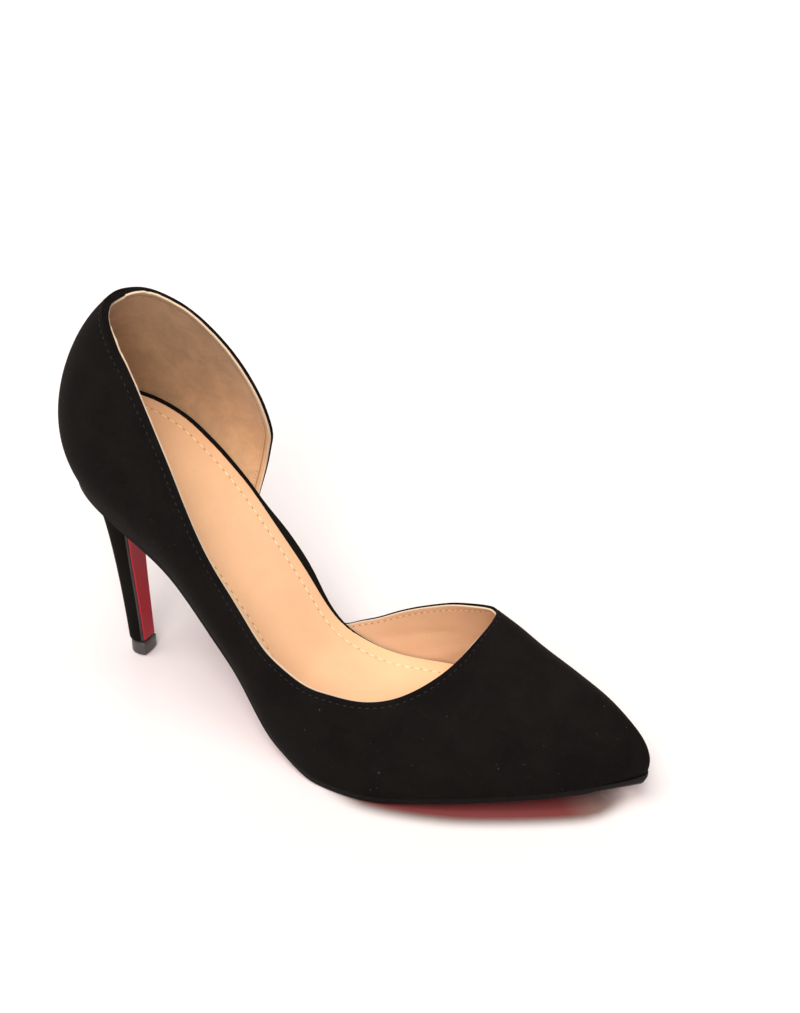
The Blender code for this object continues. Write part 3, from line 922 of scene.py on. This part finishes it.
CUP_ALONG = (-0.040, -0.062)
ROLL_ALONG = (0.024, -0.012)
VAMP_STARTS = (0.012, 0.026)
VAMP_ENDS = (0.060, 0.040)
WAIST_STARTS = (-0.085, -0.055)
WAIST_ENDS = (0.03, 0.0)
WAIST_ACROSS = (0.010, -0.005)
FRONT_ALONG = (-0.025, -0.008)
FRONT_ACROSS = (-0.005, 0.010)
FRONT_ROW = 0.001
VAMP_ROLL = 0.6  # share of the roll that the board has under the vamp
CUP_ROLL = 0.15  # share of the roll that only the heel cup has
BOARD_TOP, BOARD_SIDE = 0.4, 0.35  # upward share of the normal: lowest on the top, highest on the side
SOCK_TOP = 0.45  # lowest upward share of the normal on the sock's top
SOCK_FRONT = 0.002  # strip at the front edge that has no row


class PUMP_OT_board(bpy.types.Operator):
    """Suede-wrapped board with a rolled edge that shows along the sock; the raised black edge is partly
    painted shade, standing for the shadow gap between the sock and the lining
    """

    bl_idname = "pump.board"
    bl_label = "Wrapped board"

    def execute(self, context):
        piece = copied("insole_board", "board_wrap")
        choose(piece, "EDGE", top_edge)
        mesh = bmesh.from_edit_mesh(piece.data)
        for vertex in {v for side in mesh.edges if side.select for v in side.verts}:
            x = vertex.co.x
            under_vamp = rising(*VAMP_STARTS, x) * rising(*VAMP_ENDS, x)
            share = rising(*ROLL_ALONG, x) + VAMP_ROLL * under_vamp
            vertex.co.z += sizes().roll * (1 - CUP_ROLL + CUP_ROLL * rising(*CUP_ALONG, x)) * share
        bmesh.update_edit_mesh(piece.data)
        bpy.ops.mesh.bevel(offset=0.0006, segments=3, clamp_overlap=True)
        leave()
        applied(piece, "SUBSURF", levels=1)
        smoothed(piece, 60)
        finished(piece, "board_suede", suede_material(), nodes=("insole_board",))
        return {"FINISHED"}


def top_edge(side):
    """Tells the edges between the board's top and its upright side."""
    if len(side.link_faces) != 2:
        return False
    lower, upper = sorted(face.normal.z for face in side.link_faces)
    return upper > BOARD_TOP and lower < BOARD_SIDE


class PUMP_OT_sock(bpy.types.Operator):
    """Leather sock with a rounded edge"""

    bl_idname = "pump.sock"
    bl_label = "Sock"

    def execute(self, context):
        piece = copied("insole", "sock")
        choose(piece, "EDGE", sharper(45))
        bpy.ops.mesh.bevel(offset=0.0004, segments=2, clamp_overlap=True)
        leave()
        applied(piece, "SUBSURF", levels=2)
        row_distance(piece, path_distance(piece, sock_edge_path()), sock_inset)
        smoothed(piece, 60)
        leather = leather_material(
            "Sock leather", colours().sock, roughness=0.46, cells=1500.0, strength=0.10, press=4.8
        )
        finished(piece, "sock_leather", leather, nodes=("insole",))
        return {"FINISHED"}


def sock_inset(place):
    """Distance of the sock's row from its edge at one place."""
    size = sizes()
    x, y, _ = place
    waist = rising(*WAIST_STARTS, x) * rising(*WAIST_ENDS, x) * rising(*WAIST_ACROSS, y)
    front = rising(*FRONT_ALONG, x) * rising(*FRONT_ACROSS, y)
    return size.sock_row + size.waist_row * waist + FRONT_ROW * front


def sock_edge_path():
    """Top edge of the sock with inward ways, from the front of one side round the heel to the other."""
    mesh = mesh_of(frame["nodes"]["insole"])
    bmesh.ops.remove_doubles(mesh, verts=mesh.verts, dist=MERGE)
    top = {face for face in mesh.faces if face.normal.z > SOCK_TOP}
    border = [side for side in mesh.edges if sum(face in top for face in side.link_faces) == 1]
    loop = border_loop(border, first=lambda vertex: vertex.co.x + 0.001 * vertex.co.y)
    path = []
    for vertex, before, after in zip(loop, [loop[-1], *loop], [*loop[1:], loop[0]]):
        way = inward_way(vertex, [face for face in vertex.link_faces if face in top], before.co, after.co)
        path.append((vertex.co.copy(), way.normalized()))
    mesh.free()
    limit = max(place.x for place, _ in path) - SOCK_FRONT
    return [(place, way) for place, way in path if place.x < limit]


# Stitches: pitch, depth in the surface, then length, width and height of the thread and of the hole

NO_PART = (0.0, 0.0, 0.0)
TOPLINE_STITCH = (0.0026, 0.00003, (0.0014, 0.00045, 0.00030), NO_PART)
FRONT_STITCH = (0.0026, 0.00002, (0.0014, 0.00042, 0.00034), (0.0008, 0.00034, 0.00012))
COUNTER_STITCH = (0.0013, 0.00002, NO_PART, (0.0005, 0.0003, 0.00012))
SOCK_STITCH = (0.0034, 0.00002, (0.0023, 0.00050, 0.00040), (0.0009, 0.00036, 0.00012))
COUNTER_TOP = 0.112
AFTER_SEAM = 0.001
INSIDE_LINING = 0.0003


class PUMP_OT_stitches(bpy.types.Operator):
    """Stitch rows of the topline, the linings and the sock"""

    bl_idname = "pump.stitches"
    bl_label = "Stitch rows"

    def execute(self, context):
        size = sizes()
        sheet = outer_sheet("rim_guide")
        path = rim_path(sheet)
        outside = tree_of(sheet)
        only(sheet)
        bpy.ops.object.delete()
        dark = thread_material("Dark thread", colours().dark_thread)
        tan = thread_material("Tan thread", colours().tan_thread)
        pale = thread_material("Pale thread", colours().pale_thread)
        # painted shade: the sunk part of each stitch is coloured dark and stands for the shade in its hole
        hole = thread_material("Pinhole shade", colours().pinhole_shade)
        row = inset_path(path, size.row)
        stitch_row("topline_stitches", row, outside, (dark, dark), "suede", TOPLINE_STITCH)
        throat = max(range(len(path)), key=lambda i: path[i][0].x)
        collar = max(range(len(path)), key=lambda i: path[i][0].z)
        counter = [item for item in path[1:collar] if item[0].z < COUNTER_TOP]
        lateral = [item for item in path[collar:throat] if item[0].x > size.seam + AFTER_SEAM]
        front = lateral + path[throat:-2]
        for name, part, lining, distance, stitch in (
            ("front_lining_stitches", front, "lining_front", lining_inset, FRONT_STITCH),
            ("counter_lining_stitches", counter, "lining_heel", size.dotted_row, COUNTER_STITCH),
        ):
            row = []
            for point in inset_path(part, distance):
                found, normal, _, _ = outside.find_nearest(point)
                depth = suede_depth(found) + size.lining + size.lap + INSIDE_LINING
                row.append(found - normal * depth)
            surface = tree_of(bpy.data.objects[lining])
            stitch_row(name, row, surface, (tan, hole), "sock_leather", stitch)
        row = inset_path(sock_edge_path(), sock_inset)
        surface = tree_of(bpy.data.objects["sock"])
        stitch_row("sock_stitches", row, surface, (pale, hole), "sock_leather", SOCK_STITCH)
        return {"FINISHED"}


# Sole and heel

LACQUER, PAINT, BEVEL = range(3)  # the sole's materials
SEAT_FRONT = -0.078  # the heel is fixed under the sole behind this place
SEAT_REACH = 0.003
BREAST_TURN = 0.55  # lowest forward share of the normal on the heel's breast
BREAST_TOP = 0.066
TIP_REACH = 0.004  # part of the toe that the tip's heights are taken from
TOE_MIDDLE = (0.022, -0.002)  # from the tip back and across to the middle of the toe's curve
TUCK_ALONG = (-0.020, -0.002)  # from the tip
TUCK_HEIGHT = 0.007
ROUND_ALONG = (-0.018, -0.001)  # from the tip
ROUND_POWER = 2.2
SET_BACK = 0.2  # of the upper's tuck, for the whole edge of the sole


class PUMP_OT_outsole(bpy.types.Operator):
    """Sole with a lacquered bottom, a painted edge and a grey bevel whose grey is a painted highlight"""

    bl_idname = "pump.outsole"
    bl_label = "Outsole"

    def execute(self, context):
        piece = copied("outsole", "outsole_dressed")
        paint = paint_material("Edge paint", colours().edge, roughness=0.6, level=0.10)
        for material in (lacquer_material(), paint, grey_edge_and_highlight_material()):
            piece.data.materials.append(material)
        bottom = under_faces(piece)
        heel = tree_of(frame["nodes"]["heel"])
        for face in piece.data.polygons:
            seated = face.center.x < SEAT_FRONT and heel.find_nearest(face.center)[3] < SEAT_REACH
            face.material_index = LACQUER if face.index in bottom and not seated else PAINT
        choose(piece, "EDGE", lambda side: sum(face.index in bottom for face in side.link_faces) == 1)
        # the bevel faces get the grey that is a painted highlight for the gloss on the bevel
        bpy.ops.mesh.bevel(offset=sizes().bevel, segments=1, clamp_overlap=True, material=BEVEL)
        leave()
        creased(piece, 32)
        applied(piece, "SUBSURF", levels=2)
        choose(piece, "FACE", lambda face: face.material_index == LACQUER)
        bpy.ops.mesh.select_less(use_face_step=True)
        bpy.ops.mesh.vertices_smooth(factor=0.5, repeat=16)
        leave()
        round_toe(piece)
        smoothed(piece, 32)
        finished(piece, "sole_red", nodes=("outsole",))
        return {"FINISHED"}


def toe_tip(piece):
    """Foremost place of a piece, and its heights there."""
    tip = max((vertex.co for vertex in piece.data.vertices), key=lambda place: place.x).copy()
    heights = [vertex.co.z for vertex in piece.data.vertices if vertex.co.x > tip.x - TIP_REACH]
    return tip, min(heights), max(heights)


def toe_way(tip, place):
    """Way out from the middle of the toe."""
    back, across = TOE_MIDDLE
    return Vector((place.x - tip.x + back, place.y - tip.y + across, 0.0)).normalized()


def tuck_toe(piece):
    """Draws the foot of the upper in over the sole's tip."""
    tip, low, _ = toe_tip(piece)
    for vertex in piece.data.vertices:
        near = rising(*TUCK_ALONG, vertex.co.x - tip.x)
        share = clamped(1 - (vertex.co.z - low) / TUCK_HEIGHT)
        vertex.co -= toe_way(tip, vertex.co) * sizes().toe_tuck * near * share ** 2


def round_toe(piece):
    """Sets the sole's edge back under the upper at the tip and rounds its lower part."""
    size = sizes()
    tip, low, high = toe_tip(piece)
    for vertex in piece.data.vertices:
        near = rising(*ROUND_ALONG, vertex.co.x - tip.x)
        share = clamped((high - vertex.co.z) / (high - low))
        back = SET_BACK * size.toe_tuck + size.toe_round * share ** ROUND_POWER
        vertex.co -= toe_way(tip, vertex.co) * near * back
        vertex.co.z -= size.toe_drop * near * share


class PUMP_OT_heel(bpy.types.Operator):
    """Suede-wrapped heel, lacquered breast and tip"""

    bl_idname = "pump.heel"
    bl_label = "Heel"

    def execute(self, context):
        block = subdivided("heel", "heel_wrap", 60)
        smoothed(block, 50)
        finished(block, "heel_suede", suede_material(), grey_edge_and_highlight_material(), nodes=("heel",))
        for face in block.data.polygons:
            on_breast = face.normal.x > BREAST_TURN and face.center.z < BREAST_TOP
            face.material_index = int(on_breast)
        cover = subdivided("heel_breast_cover", "breast_sheet", 55)
        smoothed(cover, 50)
        finished(cover, "breast_red", lacquer_material(), nodes=("heel_breast_cover",))
        tip = subdivided("top_piece", "heel_tip", 20)
        bevelled(tip, 35, width=0.00015, segments=2)
        smoothed(tip, 30)
        rubber = paint_material("Heel tip", colours().tip, roughness=0.35, level=0.5)
        finished(tip, "tip", rubber, nodes=("top_piece",))
        return {"FINISHED"}


# Stage

# Camera: place, ways to its right, up and back, and lens
CAMERA_PLACE = (0.38047, -0.65708, 0.58480)
CAMERA_WAYS = ((0.8782, 0.4784, 0.0), (-0.2605, 0.4783, 0.8387), (0.4012, -0.7365, 0.5446))
CAMERA_LENS = 94.46

# Lights: name, way to the light, width of the disc in degrees, strength
LIGHTS = (
    ("overhead", (-0.15, -0.28, 1.0), 50.0, 2.75),
    ("front", (0.30, -0.70, 0.66), 30.0, 2.45),
)
AMBIENT = 0.30

FLOOR_SIZE = 8.0
FLOOR_LEVEL = -0.0001
FLOOR_TONE = (0.72, 0.66, 0.64)
WALL_RADIUS = 3.5
WALL_HEIGHT = 1.8
WALL_TONE = (0.92, 0.90, 0.88)

# Painted reflection of the red sole on the table, with a painted brown shadow round it: its level, and how it
# is moved and fades
GLINT_LEVEL = -0.00005
GLINT_SHIFT = (0.00264, -0.00484, 0.0)
GLINT_ALONG = (-0.01, 0.07)
GLINT_ACROSS = (0.016, -0.004)
GLINT_SLANT = 1.2
GLINT_REAR_FADE = (0.012, 0.028)
GLINT_FRONT_FADE = (0.122, 0.098)
GLINT_REFLECTION_FADE = (0.100, 0.082)
GLINT_CORE = (0.0064, 0.0084)
GLINT_SHADOW_BORDER = (0.0, 0.0066)
GLINT_PAINTED_SHADOW = (0.20, 0.125, 0.105)
GLINT_PAINTED_REFLECTION = (0.170, 0.040, 0.038)
BORDER_PARTS = 8


def painted_sole_reflection():
    """Painted reflection: a flat patch on the table under the front of the sole, red where it stands for the
    bottom that a glossy table gives back, with a painted brown shadow round it and towards the tip.
    """
    piece = copied("outsole", "table_glint")
    bottom = under_faces(piece)
    choose(
        piece, "FACE", lambda face: face.index not in bottom or face.calc_center_median().x < GLINT_ALONG[0]
    )
    bpy.ops.mesh.delete(type="FACE")
    choose_all()
    bpy.ops.transform.resize(value=(1.0, 1.0, 0.0), center_override=(0.0, 0.0, GLINT_LEVEL))
    bpy.ops.mesh.flip_normals()
    leave()
    for vertex in piece.data.vertices:
        share = (1 + rising(*GLINT_ALONG, vertex.co.x)) * rising(*GLINT_ACROSS, vertex.co.y)
        vertex.co += Vector(GLINT_SHIFT) * share
    mesh = mesh_of(piece)
    ends = [(side.verts[0].co, side.verts[1].co) for side in open_edges(mesh)]
    edge_distance(piece, [a.lerp(b, i / BORDER_PARTS) for a, b in ends for i in range(BORDER_PARTS + 1)])
    mesh.free()
    material, tree, shader = blank_material("Painted reflection and shadow on the table", Roughness=0.3, Specular_IOR_Level=0.3)
    axes = object_axes(tree)
    slant = plus(tree, axes["X"], times(tree, axes["Y"], GLINT_SLANT))
    away = held(tree, "rim")
    # the red core is the painted reflection; the border and the tip end are brown painted shadow
    core = span(tree, away, *GLINT_CORE)
    red = times(tree, core, span(tree, slant, *GLINT_REFLECTION_FADE))
    border = span(tree, away, *GLINT_SHADOW_BORDER)
    cover = plus(tree, times(tree, border, border, 0.7), times(tree, core, 0.3))
    rear = span(tree, axes["X"], *GLINT_REAR_FADE)
    front = span(tree, slant, *GLINT_FRONT_FADE)
    feed(
        tree, shader, Base_Color=mixed(tree, red, GLINT_PAINTED_SHADOW, GLINT_PAINTED_REFLECTION),
        Alpha=times(tree, rear, front, cover)
    )
    piece.data.materials.append(material)
    return piece


def settled(name, material_name, **values):
    """Names the stage piece just added, applies its place and gives it a plain material."""
    piece = bpy.context.active_object
    piece.name = name
    bpy.ops.object.transform_apply()
    piece.data.materials.append(blank_material(material_name, **values)[0])
    return piece


class PUMP_OT_stage(bpy.types.Operator):
    """White floor, pale backdrop, a painted red reflection with a painted shadow on the floor, soft lights
    and the camera
    """

    bl_idname = "pump.stage"
    bl_label = "Stage"

    def execute(self, context):
        deselect()
        bpy.ops.mesh.primitive_plane_add(size=FLOOR_SIZE, location=(0.0, 0.0, FLOOR_LEVEL))
        floor = settled("floor", "White table", Roughness=0.22, Base_Color=FLOOR_TONE)
        painted_glint = painted_sole_reflection()
        deselect()
        bpy.ops.mesh.primitive_cylinder_add(
            vertices=96, radius=WALL_RADIUS, depth=WALL_HEIGHT, end_fill_type="NOTHING",
            location=(0.0, 0.0, WALL_HEIGHT / 2 + FLOOR_LEVEL)
        )
        wall = settled("backdrop", "White wall", Roughness=0.9, Specular_IOR_Level=0.1, Base_Color=WALL_TONE)
        enter(wall)
        choose_all()
        bpy.ops.mesh.flip_normals()
        leave()
        bpy.ops.object.shade_smooth()
        world = bpy.data.worlds.new("studio")
        world.use_nodes = True
        feed(world.node_tree, world.node_tree.nodes["Background"], Color=(1.0, 1.0, 1.0), Strength=AMBIENT)
        context.scene.world = world
        for name, way, width, power in LIGHTS:
            bpy.ops.object.light_add(type="SUN", location=way)
            lamp = context.active_object
            lamp.name = name
            lamp.data.angle = math.radians(width)
            lamp.data.energy = power
            lamp.rotation_euler = (-Vector(way)).to_track_quat("-Z", "Y").to_euler()
        bpy.ops.object.camera_add()
        camera = context.active_object
        ways = Matrix(CAMERA_WAYS).transposed().to_4x4()
        ways.translation = CAMERA_PLACE
        camera.matrix_world = ways
        camera.data.lens = CAMERA_LENS
        context.scene.camera = camera
        context.scene.view_settings.view_transform = "Standard"
        return {"FINISHED"}


class PUMP_PT_panel(bpy.types.Panel):
    """Lists the pieces, their sizes and their colours"""

    bl_idname = "PUMP_PT_panel"
    bl_label = "Asymmetric pump"
    bl_space_type = "VIEW_3D"
    bl_region_type = "UI"
    bl_category = "Pump"

    def draw(self, context):
        for group in (context.scene.pump_sizes, context.scene.pump_colours):
            box = self.layout.box()
            for name in group.__annotations__:
                box.prop(group, name)
        for operator in OPERATORS:
            self.layout.operator(operator.bl_idname)


OPERATORS = (
    PUMP_OT_upper,
    PUMP_OT_lining,
    PUMP_OT_board,
    PUMP_OT_sock,
    PUMP_OT_stitches,
    PUMP_OT_outsole,
    PUMP_OT_heel,
    PUMP_OT_stage,
)
CLASSES = (PumpSizes, PumpColours, *OPERATORS, PUMP_PT_panel)


def register():
    for item in CLASSES:
        bpy.utils.register_class(item)
    bpy.types.Scene.pump_sizes = PointerProperty(type=PumpSizes)
    bpy.types.Scene.pump_colours = PointerProperty(type=PumpColours)


def unregister():
    del bpy.types.Scene.pump_colours
    del bpy.types.Scene.pump_sizes
    for item in reversed(CLASSES):
        bpy.utils.unregister_class(item)


def main():
    register()
    deselect()
    for operator in OPERATORS:
        group, name = operator.bl_idname.split(".")
        getattr(getattr(bpy.ops, group), name)()
    bpy.context.view_layer.update()


if __name__ == "__main__":
    main()
